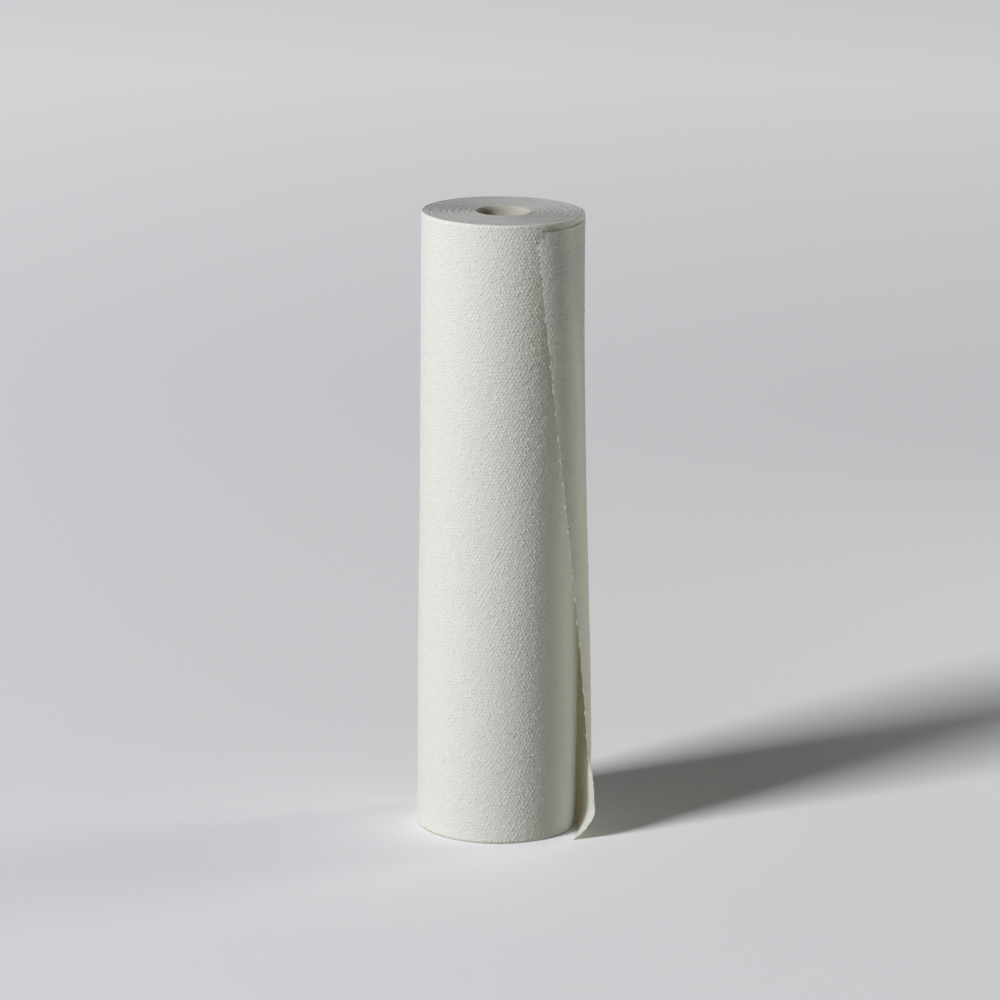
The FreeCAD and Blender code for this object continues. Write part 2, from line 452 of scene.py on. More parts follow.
class Recipe:
    """The nodes of a material or a world, with short ways to add and to join them.

    Attributes:
        MIX_INPUTS: Where a Mix node for colours lists its share and its two colours.
        MIX_OUTPUT: Where it lists the mixed colour.
        SHINE: The specular level of paper and board.
    """

    MIX_INPUTS = (0, 6, 7)
    MIX_OUTPUT = 2
    SHINE = 0.2

    def __init__(self, owner: bpy.types.Material | bpy.types.World) -> None:
        """Give a material or a world an empty tree of nodes.

        Args:
            owner: The material or the world.
        """
        owner.use_nodes = True
        self.owner = owner
        self.tree = owner.node_tree
        self.tree.nodes.clear()

    def add(
        self, kind: str, sources: dict[str | int, object] | None = None, **settings: object
    ) -> bpy.types.Node:
        """Add a node.

        Args:
            kind: The node's type, without its leading ShaderNode.
            sources: What feeds its inputs, by their names or their places in its list.
            settings: Properties of the node.

        Returns:
            The new node.
        """
        node = self.tree.nodes.new("ShaderNode" + kind)
        for setting, value in settings.items():
            setattr(node, setting, value)
        for key, source in (sources or {}).items():
            self.feed(node.inputs[key], source)
        return node

    def feed(self, socket: bpy.types.NodeSocket, source: object) -> None:
        """Join a node's input to an output, or set it to a plain value.

        Args:
            socket: The input.
            source: The output, or the value. A colour has three numbers.
        """
        if isinstance(source, bpy.types.NodeSocket):
            self.tree.links.new(source, socket)
        elif socket.type == "RGBA":
            socket.default_value = (*source, 1.0)
        else:
            socket.default_value = source

    def math(self, operation: str, *inputs: object) -> bpy.types.NodeSocket:
        """Add a Math node and give its output."""
        return self.add("Math", dict(enumerate(inputs)), operation=operation).outputs[0]

    def place(self, pace: Triple = (1.0, 1.0, 1.0)) -> bpy.types.NodeSocket:
        """The place on the object, each axis times its pace."""
        place = self.add("TexCoord").outputs["Object"]
        return self.add("Mapping", {"Vector": place, "Scale": pace}).outputs[0]

    def distance(self, place: bpy.types.NodeSocket) -> bpy.types.NodeSocket:
        """How far a place is from the middle of the floor."""
        return self.add("VectorMath", {0: place}, operation="LENGTH").outputs["Value"]

    def noise(
        self, grain: Grain, where: bpy.types.NodeSocket | None = None
    ) -> bpy.types.NodeSocket:
        """Add a noise texture.

        Args:
            grain: What it is like.
            where: The place that it is read at, if not the place on the object.

        Returns:
            Its grey value.
        """
        sources = {
            "Vector": self.place(grain.pace) if where is None else where,
            "Scale": grain.scale,
            "Detail": grain.detail,
            "Roughness": grain.rough,
        }
        return self.add("TexNoise", sources).outputs[0]

    def ramp(self, value: bpy.types.NodeSocket, low: float, high: float) -> bpy.types.NodeSocket:
        """Stretch a grey value so that low gives 0 and high gives 1."""
        sources = {"Value": value, "From Min": low, "From Max": high}
        return self.add("MapRange", sources, clamp=True).outputs[0]

    def blend(
        self, share: bpy.types.NodeSocket, first: object, second: object
    ) -> bpy.types.NodeSocket:
        """Mix two colours.

        Args:
            share: How much of the second there is.
            first: A colour, or an output that gives one.
            second: The other one.

        Returns:
            The mixed colour.
        """
        sources = dict(zip(self.MIX_INPUTS, (share, first, second)))
        return self.add("Mix", sources, data_type="RGBA").outputs[self.MIX_OUTPUT]

    def bump(
        self,
        height: bpy.types.NodeSocket,
        distance: float,
        below: bpy.types.NodeSocket | None = None,
        invert: bool = False,
    ) -> bpy.types.NodeSocket:
        """Add a Bump node.

        Args:
            height: The relief, from 0 to 1.
            distance: What a height of 1 is, in metres.
            below: The normal that it is laid over.
            invert: Whether high parts are sunk.

        Returns:
            The bumped normal.
        """
        sources = {"Height": height, "Distance": distance}
        if below is not None:
            sources["Normal"] = below
        return self.add("Bump", sources, invert=invert).outputs[0]

    def any_ray(self, *kinds: str) -> bpy.types.NodeSocket:
        """Tell some kinds of ray from the others.

        Args:
            kinds: The names of the kinds.

        Returns:
            1 for rays of those kinds and 0 for others.
        """
        path = self.add("LightPath")
        found = path.outputs[kinds[0]]
        for kind in kinds[1:]:
            found = self.math("MAXIMUM", found, path.outputs[kind])
        return found

    def body(
        self, colour: bpy.types.NodeSocket, rough: float, sheen: float, normal: bpy.types.NodeSocket
    ) -> bpy.types.NodeSocket:
        """Add the surface shader.

        Args:
            colour: The output that gives its colour.
            rough: The roughness.
            sheen: The weight of the soft sheen of loose fibres.
            normal: The bumped normal.

        Returns:
            The shader.
        """
        sources = {
            "Base Color": colour,
            "Roughness": rough,
            "Specular IOR Level": self.SHINE,
            "Sheen Weight": sheen,
            "Normal": normal,
        }
        return self.add("BsdfPrincipled", sources).outputs[0]

    def finish(self, shader: bpy.types.NodeSocket) -> bpy.types.Material | bpy.types.World:
        """Send a shader to the output.

        Args:
            shader: The shader of the whole surface or surround.

        Returns:
            The finished material or world.
        """
        kind = "OutputWorld" if isinstance(self.owner, bpy.types.World) else "OutputMaterial"
        self.add(kind, {"Surface": shader})
        return self.owner


@dataclass(frozen=True)
class EmbossedTissue:
    """The finish of the web: soft white tissue with rows of raised dots.

    Attributes:
        tops: The colour of the dots.
        hollow_shade: The colour between them, the paper darkened as painted shade where less light
            gets in.
        cloud: The colour of the thinner patches.
        through: The colour of the light that the sheet lets through.
        glow: How much light passes each face of the sheet.
        dot_height: How far the dots stand up in the shading.
        dot_limits: Between which shares of that height the painted shade between the dots gives way
            to the tops.
        patches: The thinner patches.
        patch_limits: Between which grey values a patch fades in.
        patch_tint: How strongly the patches are coloured.
        creases: The fine creases, which run along the roll.
        crease_height: How far they stand up.
        fibres: The fibres.
        fibre_height: How far they stand up.
        rough: The roughness.
        sheen: The weight of the soft sheen.
    """

    tops: Colour = (0.865, 0.875, 0.83)
    hollow_shade: Colour = (0.81, 0.82, 0.765)
    cloud: Colour = (0.835, 0.845, 0.795)
    through: Colour = (0.88, 0.89, 0.86)
    glow: float = 0.0
    dot_height: float = 0.2 * MM
    dot_limits: Limits = (0.0, 0.8)
    patches: Grain = Grain(scale=70.0, detail=3.0)
    patch_limits: Limits = (0.35, 0.7)
    patch_tint: float = 0.5
    creases: Grain = Grain(scale=620.0, pace=(1.0, 1.0, 0.35))
    crease_height: float = 0.18 * MM
    fibres: Grain = Grain(scale=1500.0, detail=3.0, rough=0.6)
    fibre_height: float = 0.09 * MM
    rough: float = 0.92
    sheen: float = 0.08

    def dots(self, recipe: Recipe) -> bpy.types.NodeSocket:
        """The raster of dots as a smooth relief: the sum of three waves that cross.

        Args:
            recipe: The material that it is for.

        Returns:
            The relief, 1 on top of a plain dot and 0 between dots.
        """
        raster = recipe.add("UVMap", uv_map=DOT_MAP).outputs[0]
        radians_a_unit = 4.0 * math.pi / ROOT_3
        total: object = 0.0
        for third in range(3):
            direction = (*(outward(FULL_TURN * third / 3.0) * radians_a_unit), 0.0)
            wave = recipe.add("VectorMath", {0: raster, 1: direction}, operation="DOT_PRODUCT")
            total = recipe.math("ADD", total, recipe.math("COSINE", wave.outputs["Value"]))
        lowest_sum, highest_sum = -1.5, 3.0
        span = highest_sum - lowest_sum
        return recipe.math("MULTIPLY_ADD", total, 1.0 / span, -lowest_sum / span)

    def material(self, name: str, side: Side) -> bpy.types.Material:
        """Mix the finish.

        Args:
            name: The material's name.
            side: Which face of the web it is for.

        Returns:
            The material.
        """
        recipe = Recipe(bpy.data.materials.new(name))
        lift = recipe.add("Attribute", attribute_name=DOT_LIFT).outputs["Fac"]
        dots = recipe.math("MULTIPLY", self.dots(recipe), lift)
        patches = recipe.ramp(recipe.noise(self.patches), *self.patch_limits)
        # Painted shade: the colour darkens from the tops of the dots to the hollows between them.
        colour = recipe.blend(recipe.ramp(dots, *self.dot_limits), self.hollow_shade, self.tops)
        colour = recipe.blend(recipe.math("MULTIPLY", patches, self.patch_tint), colour, self.cloud)
        relief = recipe.bump(dots, self.dot_height, invert=side is Side.SUNK)
        relief = recipe.bump(recipe.noise(self.creases), self.crease_height, relief)
        relief = recipe.bump(recipe.noise(self.fibres), self.fibre_height, relief)
        shader = recipe.body(colour, self.rough, self.sheen, relief)
        if self.glow:
            light = recipe.add("BsdfTranslucent", {"Color": self.through, "Normal": relief})
            shares = {0: self.glow, 1: shader, 2: light.outputs[0]}
            shader = recipe.add("MixShader", shares).outputs[0]
        return recipe.finish(shader)


# The two faces of the loose sheet, which stands free and lets light through.
LOOSE_OUTSIDE = EmbossedTissue(
    tops=(0.86, 0.88, 0.85),
    hollow_shade=(0.805, 0.825, 0.785),
    cloud=(0.83, 0.85, 0.815),
    through=(0.86, 0.90, 0.89),
    glow=0.42,
)
# The inner face is the same paper as the outer, given darker colours as painted shade.
LOOSE_INSIDE = EmbossedTissue(
    tops=(0.80, 0.84, 0.85),
    hollow_shade=(0.76, 0.80, 0.81),
    cloud=(0.78, 0.82, 0.83),
    through=(0.97, 0.79, 0.43),
    glow=0.30,
)


@dataclass(frozen=True)
class TurnEdges:
    """The finish of the roll's ends: the cut edges of the turns, side by side. Their grey is
    painted shade between the turns.

    Attributes:
        bright: The colour of a tight stretch of edges: the paper's own colour darkened to grey as
            painted shade between the turns.
        gap_shade: The darker painted shade where the edges stand apart.
        groups: The groups of turns that stand apart together.
        across: About how many times faster they change across the turns.
        group_limits: Between which grey values such a group fades in.
        thread: The pitch of the single turns.
        lean: How far the edge of each rises from its inner side to its outer.
        fluff: The loose fibres.
        fluff_height: How far they stand up.
        fluff_tint: How strongly they darken the colour, at random, towards the colour of the gap
            shade.
        rough: The roughness.
        sheen: The weight of the soft sheen.
    """

    bright: Colour = (0.71, 0.71, 0.68)
    gap_shade: Colour = (0.47, 0.47, 0.445)
    groups: Grain = Grain(scale=60.0, detail=4.0, rough=0.65)
    across: float = 14.0
    group_limits: Limits = (0.3, 0.72)
    thread: float = 0.22 * MM
    lean: float = 0.05 * MM
    fluff: Grain = Grain(scale=1400.0)
    fluff_height: float = 0.05 * MM
    fluff_tint: float = 0.3
    rough: float = 0.95
    sheen: float = 0.05

    def material(self, name: str) -> bpy.types.Material:
        """Mix the finish.

        Args:
            name: The material's name.

        Returns:
            The material.
        """
        recipe = Recipe(bpy.data.materials.new(name))
        level = recipe.place((1.0, 1.0, 0.0))
        radius = recipe.distance(level)
        turns = recipe.add("CombineXYZ", {0: recipe.math("MULTIPLY", radius, self.across)})
        bands = recipe.add("VectorMath", {0: turns.outputs[0], 1: level}, operation="ADD")
        apart = recipe.ramp(recipe.noise(self.groups, bands.outputs[0]), *self.group_limits)
        fluff = recipe.noise(self.fluff)
        # Painted shade: darker where the turns stand apart; the loose fibres mottle the colour
        # towards the same shade at random.
        colour = recipe.blend(apart, self.bright, self.gap_shade)
        colour = recipe.blend(recipe.math("MULTIPLY", fluff, self.fluff_tint), colour, self.gap_shade)
        thread = recipe.math("FRACT", recipe.math("DIVIDE", radius, self.thread))
        relief = recipe.bump(thread, self.lean)
        relief = recipe.bump(fluff, self.fluff_height, relief)
        return recipe.finish(recipe.body(colour, self.rough, self.sheen, relief))


@dataclass(frozen=True)
class CoreBoard:
    """The finish of the core: pressed grey-brown board with stray fibres.

    Attributes:
        plain: The board's main colour.
        fleck: The colour of its darker fibres.
        pale: The colour of its paler clouds.
        clouds: Those clouds.
        cloud_limits: Between which grey values a cloud fades in.
        fibres: The darker fibres.
        fibre_limits: Between which grey values a fibre fades in.
        fibre_tint: How strongly the fibres are coloured.
        pits: The fine pits in its surface.
        pit_depth: How deep they are.
        rough: The roughness.
    """

    plain: Colour = (0.52, 0.505, 0.42)
    fleck: Colour = (0.32, 0.30, 0.23)
    pale: Colour = (0.62, 0.605, 0.53)
    clouds: Grain = Grain(scale=90.0, detail=4.0, rough=0.6)
    cloud_limits: Limits = (0.35, 0.7)
    fibres: Grain = Grain(scale=1100.0, pace=(1.0, 1.0, 0.4))
    fibre_limits: Limits = (0.62, 0.74)
    fibre_tint: float = 0.6
    pits: Grain = Grain(scale=900.0, detail=3.0)
    pit_depth: float = 0.08 * MM
    rough: float = 0.9

    def material(self, name: str) -> bpy.types.Material:
        """Mix the finish.

        Args:
            name: The material's name.

        Returns:
            The material.
        """
        recipe = Recipe(bpy.data.materials.new(name))
        clouds = recipe.ramp(recipe.noise(self.clouds), *self.cloud_limits)
        fibres = recipe.ramp(recipe.noise(self.fibres), *self.fibre_limits)
        colour = recipe.blend(clouds, self.plain, self.pale)
        colour = recipe.blend(recipe.math("MULTIPLY", fibres, self.fibre_tint), colour, self.fleck)
        relief = recipe.bump(recipe.noise(self.pits), self.pit_depth)
        return recipe.finish(recipe.body(colour, self.rough, 0.0, relief))


@dataclass(frozen=True)
class StudioPaper:
    """The finish of the floor: plain pale background paper.

    Attributes:
        colour: Its colour.
        shown: Its colour as the camera sees it.
        near: Up to what distance from the roll its far part isn't made paler.
        far: The distance from which on it is palest.
        haze: How much paler that part looks to the camera.
        grain: The paper's grain.
        grain_height: How far it stands up.
    """

    colour: Colour = (0.64, 0.635, 0.58)
    shown: Colour = (0.98, 0.985, 1.0)
    near: float = 0.3
    far: float = 4.0
    haze: float = 0.33
    grain: Grain = Grain(scale=300.0)
    grain_height: float = 0.02 * MM

    def material(self, name: str) -> bpy.types.Material:
        """Mix the finish.

        Args:
            name: The material's name.

        Returns:
            The material.
        """
        recipe = Recipe(bpy.data.materials.new(name))
        seen = recipe.any_ray("Is Camera Ray", "Is Glossy Ray", "Is Transmission Ray")
        colour = recipe.blend(seen, self.colour, self.shown)
        relief = recipe.bump(recipe.noise(self.grain), self.grain_height)
        paper = recipe.add("BsdfDiffuse", {"Color": colour, "Normal": relief})
        away = recipe.ramp(recipe.distance(recipe.place()), self.near, self.far)
        haze = recipe.math("MULTIPLY", recipe.math("MULTIPLY", away, self.haze), seen)
        light = recipe.add("Emission", {"Color": self.shown, "Strength": haze})
        both = recipe.add("AddShader", {0: paper.outputs[0], 1: light.outputs[0]})
        return recipe.finish(both.outputs[0])


# ---------------------------------------------------------------- wound turns


@dataclass(frozen=True)
class WoundTurns:
    """The turns under the outermost one, whose edges make both ends of the roll.

    Attributes:
        length: The length of the roll.
        inner_radius: Where the turns start, on the core.
        outer_radius: Where they stop, under the outermost turn.
        ridge_pitch: The pitch of the ridges that stand for the single turns.
        ridge_height: How far a ridge stands above the furrow next to it.
        ridge_spread: How much the ridges differ in height, as a share of it.
        line_pitch: The pitch of the deeper lines.
        line_width: Their width.
        line_depth: Their depth.
        line_floor: How far from its middle a line is still flat, as a share of its width.
        line_edge: How far from its middle it has come up, as such a share.
        line_rim: How far the first line lies inside the outermost turn.
        drift: How the ends stray from a plane.
        groups: How groups of turns stand out of them together.
        steps: How many steps there are in one turn.
        tucked: How far the hidden edges of the ends lie below them.
        seed: Picks how the ridges differ.
    """

    length: float
    inner_radius: float
    outer_radius: float
    ridge_pitch: float = 0.7 * MM
    ridge_height: float = 0.065 * MM
    ridge_spread: float = 0.35
    line_pitch: float = 4.6 * MM
    line_width: float = 0.9 * MM
    line_depth: float = 0.32 * MM
    line_floor: float = 0.15
    line_edge: float = 0.6
    line_rim: float = 1.4 * MM
    drift: Ripple = Ripple(height=0.09 * MM, lobes=3, along=0.0, seed=31)
    groups: Ripple = Ripple(height=0.08 * MM, lobes=2, along=260.0, seed=37, count=14)
    steps: int = 268
    tucked: float = 0.4 * MM
    seed: int = 23

    def spiral_radius(self, step: Array, level: Array) -> Array:
        """How far from the axis a vertex of the spiral grid lies.

        Args:
            step: Its step round the turn.
            level: Its line in the grid, two to a ridge.

        Returns:
            The radius, in metres. On the first two lines and on the last it can lie
            beyond the end's own radii.
        """
        lines = level - 2.0 + 2.0 * step / self.steps
        return self.inner_radius + lines * self.ridge_pitch / 2.0

    def line(self, place: Array) -> Array:
        """How deep the deeper spiral lines cut, as a share of their depth.

        They are drawn as half circles. Those in front have their middle half a pitch to the
        side, so that each runs on into the next one in.

        Args:
            place: Points on the end, as x and y.

        Returns:
            The share, 1 in the middle of a line.
        """
        half = self.line_pitch / 2.0
        shift = np.where(place[:, 1] < 0.0, half, 0.0)
        reach = np.hypot(place[:, 0] + shift, place[:, 1]) - shift
        first = self.outer_radius - self.line_rim
        beside = np.abs(np.mod(first - reach + half, self.line_pitch) - half)
        floor, edge = self.line_floor * self.line_width, self.line_edge * self.line_width
        return 1.0 - smooth_step(beside, floor, edge)

    def relief(self, place: Array, bearing: Array, step: Array, level: Array) -> Array:
        """How far each vertex of an end stands above or below its plane.

        Args:
            place: The vertices, as x and y.
            bearing: Their bearings.
            step: Their steps round the turn.
            level: Their lines in the grid.

        Returns:
            The heights, in metres.
        """
        radius = np.hypot(place[:, 0], place[:, 1])
        turn = level / 2.0 + step / self.steps
        draw = np.random.default_rng(self.seed)
        turns = np.arange(math.ceil(turn.max()) + 1)
        strength, lead = (
            np.interp(turn, turns, draw.uniform(-1.0, 1.0, len(turns))) for _ in range(2)
        )
        uneven = strength * np.sin(np.radians(bearing) + math.pi * lead)
        ridge = self.ridge_height * (0.5 - np.mod(level, 2)) * (1.0 + self.ridge_spread * uneven)
        drift = self.drift.at(bearing, radius)
        groups = self.groups.at(bearing, radius)
        return ridge + drift + groups - self.line_depth * self.line(place)

    def end(self) -> bmesh.types.BMesh:
        """The upper end: one long spiral of ridges, closed to a full ring.

        Returns:
            The mesh of the end.
        """
        levels = math.ceil((self.outer_radius - self.inner_radius) / (self.ridge_pitch / 2.0)) + 2
        mesh = flat_grid(self.steps, levels)
        flat = vertex_array(mesh)
        bearing = 90.0 - FULL_TURN * flat[:, 0] / self.steps
        wanted = self.spiral_radius(flat[:, 0], flat[:, 1])
        radius = np.clip(wanted, self.inner_radius, self.outer_radius)
        place = outward(bearing) * radius[:, None]
        hidden = (radius <= self.inner_radius) | (radius >= self.outer_radius)
        height = np.where(hidden, -self.tucked, self.relief(place, bearing, *flat[:, :2].T))
        move_vertices(mesh, np.column_stack((place, self.length + height)))
        weld(mesh)
        return mesh

    def build(self, material: bpy.types.Material) -> bpy.types.Object:
        """Model both ends and the walls between them.

        Args:
            material: The finish of the turns' edges.

        Returns:
            The piece.
        """
        mesh = self.end()
        middle = Matrix.Translation((0.0, 0.0, -self.length / 2.0))
        upper = mesh.verts[:] + mesh.edges[:] + mesh.faces[:]
        bmesh.ops.mirror(mesh, geom=upper, matrix=middle, merge_dist=-1.0, axis="Z")
        between = (self.inner_radius + self.outer_radius) / 2.0
        open_edges = [edge for edge in mesh.edges if edge.is_boundary]
        for outer in (False, True):
            wall = [
                edge
                for edge in open_edges
                if (math.hypot(*edge.verts[0].co[:2]) > between) == outer
            ]
            bmesh.ops.bridge_loops(mesh, edges=wall)
        bmesh.ops.recalc_face_normals(mesh, faces=mesh.faces[:])
        return finish_piece(mesh, "wound_turns", material)


# ---------------------------------------------------------------- outermost turn


@dataclass(frozen=True)
class OuterTurn:
    """The outermost full turn of the web, on which the loose sheet still rests.

    Attributes:
        length: The length of the roll.
        radius: The radius of its outer face.
        raster: The dots in it.
        thickness: How thick it is shown where its edge is seen.
        unevenness: How it strays from a true cylinder.
        edge_stray: How far its upper cut edge strays from a plane.
        rounding: How far handling has pressed its rims in.
        steepest: The z of a face's normal from which on it isn't shaded smooth.
    """

    length: float
    radius: float
    raster: DotRaster
    thickness: float = 0.6 * MM
    unevenness: Ripple = WALL_STRAY
    edge_stray: Ripple = Ripple(height=0.07 * MM, lobes=9, along=0.0, seed=5)
    rounding: float = 0.45 * MM
    steepest: float = 0.7

    def build(self, material: bpy.types.Material) -> bpy.types.Object:
        """Wrap a flat stretch of web round the roll and close it.

        Args:
            material: The finish of the web.

        Returns:
            The piece.
        """
        web = self.raster.lay(0, self.raster.columns)
        web.mark()
        mesh = web.mesh
        column, share, relief = web.wanted()
        bearing = FULL_TURN * column / self.raster.columns
        height = share * self.length
        reach = self.radius + relief + self.unevenness.at(bearing, height)
        reach -= np.where((share <= 0.0) | (share >= 1.0), self.rounding, 0.0)
        height += np.where(share >= 1.0, self.edge_stray.at(bearing, height), 0.0)
        move_vertices(mesh, np.column_stack((outward(bearing) * reach[:, None], height)))
        weld(mesh)
        for end in (0.0, self.length):
            pull_rim(mesh, rim_edges(mesh, end), self.radius - self.thickness, end)
        close_tube(mesh, self.steepest)
        return finish_piece(mesh, "outer_turn", material)


# ---------------------------------------------------------------- loose sheet


@dataclass(frozen=True)
class LooseSheet:
    """The end of the web: slipped down, standing off the roll, and torn off.

    Attributes:
        length: The length of the roll.
        radius: The radius of the outermost turn.
        raster: The dots in the sheet.
        thickness: How thick the sheet is.
        fluff: How thick the loosened fibres make it at a torn tie.
        loft: How far its outer face stands above the outermost turn where it still rests.
        widest: About how far along the web it reaches from its root at its widest.
        root_bearing: Where it comes clear of that turn.
        leave_bearing_top: Where its upper edge leaves the roll.
        leave_bearing_gain: How much further back its lower edge leaves it.
        edge_bearing_top: Where the torn edge's upper end is.
        edge_bearing_gain: How much further round its lower end is.
        edge_gap_top: How far the torn edge stands off the roll at its upper end.
        edge_gap_gain: How much further off its lower end stands.
        edge_facing_top: Which way the sheet faces at the torn edge, at its upper end.
        edge_facing_gain: How much further it turns out by the lower end.
        flare_bottom: The height below which the sheet's foot is bent right out.
        flare_top: The height above which it is not bent out.
        flare_gap: How much that bend widens the gap under the torn edge.
        flare_facing: How much further round it turns the torn edge.
        leave_handle: How stiffly the sheet leaves the roll, as a share of its free width.
        edge_handle: How stiffly it ends, as a share of that width.
        curl_depth: How far the foot of the torn edge curls in.
        curl_height: How high that curl reaches.
        slip_root: How far the upper edge has slipped at the back.
        slip_edge: How far it has slipped at the torn edge.
        tuck_reach: How far either way from the root, in degrees, it sinks into the turn below.
        tuck_depth: How deep it ends up in that turn.
        tie_pitch: The spacing of the torn ties that the perforation leaves.
        lowest_tie: The height of the lowest tie.
        tie_width: How wide a tie is halfway out.
        tie_sides: How far from its middle its sides start and end, as shares of that.
        tie_length: How far the longest ties stand out from the cuts beside them.
        shortest_tie: How far the shortest may, as a share of that.
        tie_seed: Picks how the ties differ.
        set_back: How far those cuts lie behind the sheet's full width.
        flap: The stretch between two ties that tore off with them, counted from the lowest.
        flap_length: How far that stretch stands out from the cuts beside it.
        flap_sides: How far from its middle its sides start and end, in ties.
        fray: How ragged the torn edge is between its ties.
        corner: How far down the rounding of the upper corner reaches.
        corner_width: How far in it reaches.
        unevenness: How the sheet strays where it rests on the roll, with the turn below.
        flutter: How it strays where it stands free.
        free_limits: Between which distances off the roll it comes to stand free.
        held_points: How many points a section has where the sheet is held.
        free_points: How many it has where the sheet is free.
        cut_reach: How many columns a vertex of the cut may lie behind the torn edge.
        corner_reach: How many it may at the two ends of that edge.
        spare: How many columns the other vertices stay behind it.
        shortest_edge: The shortest edge that is kept in the mesh.
    """

    length: float
    radius: float
    raster: DotRaster
    thickness: float = 0.1 * MM
    fluff: float = 1.0 * MM
    loft: float = 0.4 * MM
    widest: float = 178.0 * MM
    root_bearing: float = 180.0
    leave_bearing_top: float = 99.0
    leave_bearing_gain: float = 36.0
    edge_bearing_top: float = 23.2
    edge_bearing_gain: float = 36.9
    edge_gap_top: float = 1.5 * MM
    edge_gap_gain: float = 23.2 * MM
    edge_facing_top: float = 3.4
    edge_facing_gain: float = 82.4
    flare_bottom: float = 50.0 * MM
    flare_top: float = 75.0 * MM
    flare_gap: float = 4.1 * MM
    flare_facing: float = 21.6
    leave_handle: float = 0.30
    edge_handle: float = 0.36
    curl_depth: float = 20.1 * MM
    curl_height: float = 26.0 * MM
    slip_root: float = 0.4 * MM
    slip_edge: float = 6.0 * MM
    tuck_reach: float = 15.0
    tuck_depth: float = 0.36 * MM
    tie_pitch: float = 19.0 * MM
    lowest_tie: float = 13.0 * MM
    tie_width: float = 3.0 * MM
    tie_sides: Limits = (0.25, 0.75)
    tie_length: float = 1.2 * MM
    shortest_tie: float = 0.35
    tie_seed: int = 59
    set_back: float = 0.4 * MM
    flap: int = 11
    flap_length: float = 2.9 * MM
    flap_sides: Limits = (0.43, 0.52)
    fray: Ripple = Ripple(height=0.26 * MM, lobes=0, along=500.0, seed=53, count=24)
    corner: float = 11.0 * MM
    corner_width: float = 8.0 * MM
    unevenness: Ripple = WALL_STRAY
    flutter: Ripple = Ripple(height=0.3 * MM, lobes=3, along=9.0, seed=41)
    free_limits: Limits = (0.2 * MM, 6.0 * MM)
    held_points: int = 70
    free_points: int = 130
    cut_reach: float = 3.0
    corner_reach: float = 1.1
    spare: float = 0.2
    shortest_edge: float = 0.03 * MM

    @property
    def column_width(self) -> float:
        """How wide one column of the raster is."""
        return 2.0 * math.pi * self.radius / self.raster.columns

    @property
    def root_column(self) -> int:
        """The column of the raster that is at the root."""
        return round(self.root_bearing / FULL_TURN * self.raster.columns)

    def section(self, share: float) -> Section:
        """The sheet's outer face in plan at one share of its height.

        Args:
            share: 0 at the lower edge and 1 at the upper.

        Returns:
            How far along the web each point lies from the root, the points, and the
            directions in which the face looks there.
        """
        fall = 1.0 - share
        leave = self.leave_bearing_top + self.leave_bearing_gain * fall
        held = np.linspace(self.root_bearing + self.tuck_reach, leave, self.held_points)
        low, high = self.root_bearing - self.tuck_reach, self.root_bearing + self.tuck_reach
        tucked = smooth_step(held, low, high) * (self.loft + self.tuck_depth)
        resting = outward(held) * (self.radius + self.loft - tucked)[:, None]
        free = self.free_stretch(share, fall, leave)
        points = np.concatenate((resting, free[1:]))
        steps = np.hypot(*np.diff(points, axis=0).T)
        along = np.concatenate(((0.0,), np.cumsum(steps)))
        along -= np.interp(-self.root_bearing, -held, along[: len(held)])
        ahead = np.gradient(points, along, axis=0)
        ahead /= np.hypot(*ahead.T)[:, None]
        return along, points, np.column_stack((-ahead[:, 1], ahead[:, 0]))

    def free_stretch(self, share: float, fall: float, leave: float) -> Array:
        """The sheet's free stretch in plan, as points on a cubic.

        Args:
            share: The share of its height.
            fall: How far below the upper edge that is, as a share.
            leave: The bearing at which the sheet leaves the roll there.

        Returns:
            The points, from the roll to the torn edge.
        """
        height = share * self.length
        flare = 1.0 - float(smooth_step(height, self.flare_bottom, self.flare_top))
        bearing = self.edge_bearing_top + self.edge_bearing_gain * fall
        gap = self.edge_gap_top + self.edge_gap_gain * math.sin(math.pi / 2.0 * fall)
        gap += self.flare_gap * flare
        facing = self.edge_facing_top + self.edge_facing_gain * fall + self.flare_facing * flare
        curled = self.curl_depth * max(0.0, 1.0 - height / self.curl_height) ** 2
        start = outward(leave) * (self.radius + self.loft)
        edge = outward(bearing) * (self.radius + gap + self.loft)
        chord = math.dist(start, edge)
        poles = (
            start,
            start + onward(leave) * self.leave_handle * chord,
            edge - onward(facing) * self.edge_handle * chord,
            edge - outward(facing) * curled,
        )
        way = np.linspace(0.0, 1.0, self.free_points)[:, None]
        weights = ((1 - way) ** 3, 3 * (1 - way) ** 2 * way, 3 * (1 - way) * way**2, way**3)
        return sum(weight * pole for weight, pole in zip(weights, poles))

    def at_tie(self, height: Array) -> Array:
        """How much of a tie there is at places on the torn edge.

        Args:
            height: The heights of the places.

        Returns:
            The shares, 1 on a tie and 0 between ties.
        """
        ties = (height - self.lowest_tie) / self.tie_pitch
        beside = np.abs(ties - np.round(ties)) * self.tie_pitch
        start, end = (side * self.tie_width for side in self.tie_sides)
        return 1.0 - smooth_step(beside, start, end)

    def torn_edge(self, share: Array, full: Array) -> Array:
        """Where the web ends at shares of its height.

        Args:
            share: The shares.
            full: The whole width of the loose sheet at each.

        Returns:
            How far along the web from the root the torn edge lies.
        """
        height = share * self.length
        ties = (height - self.lowest_tie) / self.tie_pitch
        count = math.ceil(self.length / self.tie_pitch) + 1
        lengths = np.random.default_rng(self.tie_seed).uniform(self.shortest_tie, 1.0, count)
        nearest = np.clip(np.round(ties), 0, count - 1).astype(int)
        tie = self.tie_length * lengths[nearest] * self.at_tie(height)
        from_flap = np.abs(ties - (self.flap + 0.5))
        flap = self.flap_length * (1.0 - smooth_step(from_flap, *self.flap_sides))
        rough = self.fray.at(np.zeros_like(height), height)
        near_top = np.clip(1.0 - (self.length - height) / self.corner, 0.0, 1.0)
        rounded = self.corner_width * near_top**2
        return full - self.set_back + np.maximum(tie, flap) - rounded + rough

